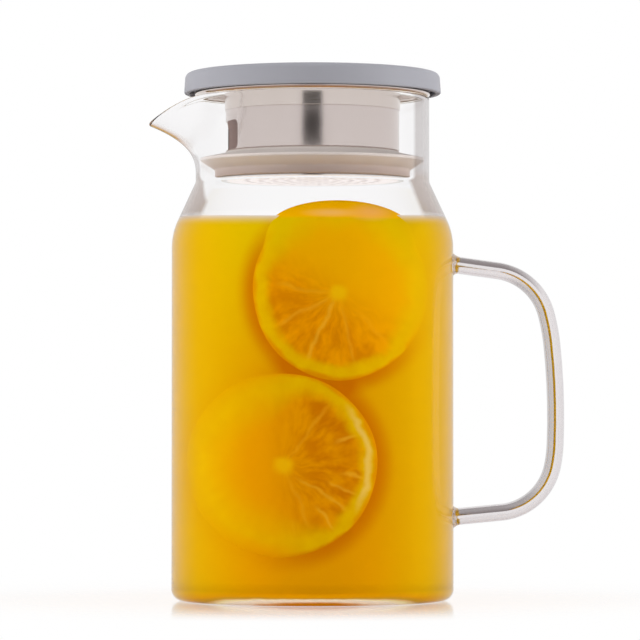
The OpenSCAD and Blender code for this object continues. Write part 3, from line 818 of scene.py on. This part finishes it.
dress(make_glass_jug(), "jug", jug_glass, "glass_body")
dress(make_handle(), "jug", rod_glass, "handle")
dress(make_seal(), "seal", soft_silicone(), "seal_ring")
dress(make_cap(), "lid", matt_cap_plastic(), "lid_cap")
dress(make_plate(), "lid", plate_steel, "lid_plate")
dress(make_cup(), "lid", cup_steel, "strainer_cup")
# The strainer plate is shown as the CAD has it.
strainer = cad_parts["strainer_plate"]
strainer.data.materials.clear()
strainer.data.materials.append(strainer_steel)

upper_skins = [(172, 0.12, 0.7, 0.04, 0.25), (207, 0.1, 0.75, 0.04, 0.35), (243, 0.1, 0.85, 0.045, 0.6),
               (284, 0.15, 0.8, 0.04, 0.25), (315, 0.3, 0.75, 0.04, 0.15)]
lower_skins = [(54, 0.15, 0.8, 0.035, 0.25), (23, 0.62, 0.92, 0.035, 0.6), (-8, 0.62, 0.92, 0.035, 0.55),
               (-20, 0.5, 0.9, 0.03, 0.45), (-36, 0.2, 0.85, 0.035, 0.45), (-52, 0.55, 0.88, 0.04, 0.55),
               (-66, 0.15, 0.7, 0.03, 0.25), (-80, 0.6, 0.85, 0.035, 0.3)]
# Painted highlights on the wet face of the upper slice.
wet_lights = [(24.0, 162.4, 12.0, 4.6, "#FFBE6E", 0.7), (8.0, 162.0, 15.0, 2.4, "#FFCC7A", 0.7)]
upper_flesh = orange_flesh(
    "orange_slice_upper", TOP_SLICE, heart_at=(-0.02, -0.035), tones=("#F6B000", "#F2A600", "#DD8E00"),
    skins=upper_skins, clear_way=238, clear_to=0.45, far_ring=0.66, patches=wet_lights)
lower_flesh = orange_flesh(
    "orange_slice_lower", LOW_SLICE, heart_at=(0.015, -0.015), tones=("#EEA400", "#EAA000", "#D48000"),
    skins=lower_skins, clear_way=5, clear_to=0.5, far_ring=0.4, arc_light=0.55)
dress(make_drink(), "jug", juice())
dress(make_slice("upper_slice", TOP_SLICE, proud=0.2, top_wide=0.29), "jug", upper_flesh)
dress(make_slice("lower_slice", LOW_SLICE, proud=0.3, top_wide=0.0), "jug", lower_flesh)


# ======== stage, light and camera ========
def make_floor():
    """White table: bright for the camera, with the jug's shadow and a soft short mirror of it kept."""
    mesh = bpy.data.meshes.new("white_table")
    bm = bmesh.new()
    bmesh.ops.create_circle(bm, cap_ends=True, radius=1.2, segments=96)
    bm.to_mesh(mesh)
    bm.free()
    table = put_in_scene("white_table", mesh)
    table.location.z = -0.0001              # its face just misses the jug's
    finish, add = blank("table_white_lacquer")
    place = add("TexCoord").outputs["Object"]
    away = add("VectorMath", {0: place}, operation="LENGTH")
    # The table is white for the eye and for what is seen through the glass. Mirrors show the room instead.
    light = add("LightPath")
    seen = add("Math", {0: light.outputs["Is Camera Ray"], 1: light.outputs["Is Glossy Ray"]},
               operation="MAXIMUM")
    seen = add("Math", {0: seen, 1: light.outputs["Is Transmission Ray"]}, operation="MAXIMUM")
    once = add("Math", {0: light.outputs["Diffuse Depth"], 1: 0.5}, operation="LESS_THAN")
    seen = add("Math", {0: seen, 1: once}, **TIMES)
    # Out from the foot of the jug the last fifth of its own shade fades, and so does its mirror.
    foot_r, shade_r, mirror_r = 0.06, 0.30, 0.185
    edge = add("MapRange", {"Value": away, 1: foot_r, 2: shade_r, 3: 0.80, 4: 1.0}, **SMOOTH)
    lift = add("Math", {0: seen, 1: edge}, **TIMES)
    paint = add("BsdfDiffuse", {"Color": colour("#F4F2F1")})
    white = add("Emission", {"Color": colour("#FFFFFF"), "Strength": 1.0})
    mixed = add("MixShader", {"Fac": lift, 1: paint, 2: white})
    mirror = add("BsdfGlossy", {"Color": colour("#FFFAF7"), "Roughness": 0.1})
    near = add("MapRange", {"Value": away, 1: foot_r, 2: mirror_r, 3: 0.68, 4: 0.0}, **SMOOTH)
    shown = add("Math", {0: near, 1: light.outputs["Is Camera Ray"]}, **TIMES)
    polished = add("MixShader", {"Fac": shown, 1: mixed, 2: mirror})
    add("OutputMaterial", {"Surface": polished})
    table.data.materials.append(finish)
    table.visible_glossy = False


def make_dark_card():
    """The dark gap between the lights, which the steel shows as one upright stripe."""
    mesh = bpy.data.meshes.new("dark_card")
    bm = bmesh.new()
    half, low, high, away = 0.25, 0.05, 0.60, 1.15
    corners = ((-half, -away, low), (half, -away, low), (half, -away, high), (-half, -away, high))
    bm.faces.new([bm.verts.new(p) for p in corners])
    bm.to_mesh(mesh)
    bm.free()
    card = put_in_scene("dark_card", mesh)
    finish, add = blank("card_dark_cloth")
    dark = add("Emission", {"Color": colour("#1D1714"), "Strength": 1.0})
    add("OutputMaterial", {"Surface": dark})
    card.data.materials.append(finish)
    # It is seen in mirrors and through glass only.
    for ray in ("camera", "diffuse", "volume_scatter", "shadow"):
        setattr(card, "visible_" + ray, False)


def soft_box(name, place, target, width, height, watts):
    """A large soft lamp. It lights surfaces but isn't seen in glass or steel, which show the white room."""
    lamp = bpy.data.lights.new(name, "AREA")
    lamp.shape, lamp.size, lamp.size_y, lamp.energy = "RECTANGLE", width, height, watts
    box = put_in_scene(name, lamp)
    box.location = place
    box.rotation_euler = (Vector(target) - Vector(place)).to_track_quat("-Z", "Y").to_euler()
    for ray in ("camera", "glossy", "transmission"):
        setattr(box, "visible_" + ray, False)


def make_room():
    room, add = emptied(bpy.data.worlds.new("white_room"))
    bpy.context.scene.world = room
    light = add("LightPath")
    # Clear glass mirrors a dimmer room than satin steel does, so that the drink keeps its depth of colour.
    mirror = add("Math", {0: light.outputs["Is Singular Ray"], 1: light.outputs["Is Transmission Ray"]},
                 operation="SUBTRACT", use_clamp=True)
    # In the glass the room is brightest behind the jug, so that only its edges shine.
    place = add("TexCoord")
    apart = add("SeparateXYZ", {"Vector": place.outputs["Generated"]})
    behind = add("MapRange", {"Value": apart.outputs["Y"], 1: 0.2, 2: 0.9, 3: 0.1, 4: 0.75}, **SMOOTH)
    bright = add("MapRange", {"Value": mirror, 3: 1.0, 4: behind})
    # What a matt surface sees through the glass is mostly counted by the light that reaches it.
    deep = add("MapRange", {"Value": light.outputs["Diffuse Depth"], 1: 0.4, 2: 0.6, 3: 1.0, 4: 0.3})
    seen_level = add("Math", {0: bright, 1: deep}, **TIMES)
    # Over the white backdrop the room is dim, and under the lid's edge it is warm with light from the drink.
    height = add("MapRange", {"Value": apart.outputs["Z"], 1: -1.0, 2: 1.0})
    walls = add("ValToRGB", {"Fac": height})
    ramp(walls, [(0.0, "#B0938A"), (0.2, "#B0938A"), (0.42, "#FFFFFF"), (0.75, "#FFFFFF"), (0.93, "#A09A9A"),
                 (1.0, "#969090")])
    seen = add("Math", {0: light.outputs["Is Camera Ray"], 1: light.outputs["Is Glossy Ray"]},
               operation="MAXIMUM")
    backdrop = add("Mix", {"Factor": light.outputs["Is Camera Ray"], 6: walls, 7: colour("#FFFFFF")}, **RGBA)
    fill = add("Background", {"Color": colour("#FFFFFF"), "Strength": 0.4})
    white = add("Background", {"Color": backdrop, "Strength": seen_level})
    mixed = add("MixShader", {"Fac": seen, 1: fill, 2: white})
    add("OutputWorld", {"Surface": mixed})


make_floor()
make_dark_card()
make_room()
soft_box("soft_box_left", (-1.35, -0.4, 0.45), (0, 0, 0.12), width=1.0, height=1.2, watts=17)
soft_box("soft_box_right", (1.35, -0.4, 0.45), (0, 0, 0.12), width=1.0, height=1.2, watts=17)
soft_box("soft_box_top", (0, 0.1, 1.5), (0, 0, 0.1), width=1.2, height=1.2, watts=8)

# The eye stands in front of the jug, in metres, and looks up by a little, in degrees, through a long lens.
CAMERA_AT, LOOK_UP, LENS, SENSOR_W = (0.0032, -1.662, 0.0742), 1.557, 219.375, 36.0
camera_data = bpy.data.cameras.new("camera")
camera_data.lens, camera_data.sensor_width = LENS, SENSOR_W
camera = put_in_scene("camera", camera_data)
camera.location = CAMERA_AT
camera.rotation_euler = (math.radians(90 + LOOK_UP), 0, 0)
bpy.context.scene.camera = camera
bpy.context.scene.view_settings.view_transform = "Standard"
# Light is carried far along the glass, from the drink to the lip, so its path may be long.
LONG_PATH, DIFFUSE_PATH, CLEAR_PATH = 72, 4, 24
path = bpy.context.scene.cycles
path.max_bounces = path.transmission_bounces = path.glossy_bounces = LONG_PATH
path.diffuse_bounces, path.transparent_max_bounces = DIFFUSE_PATH, CLEAR_PATH
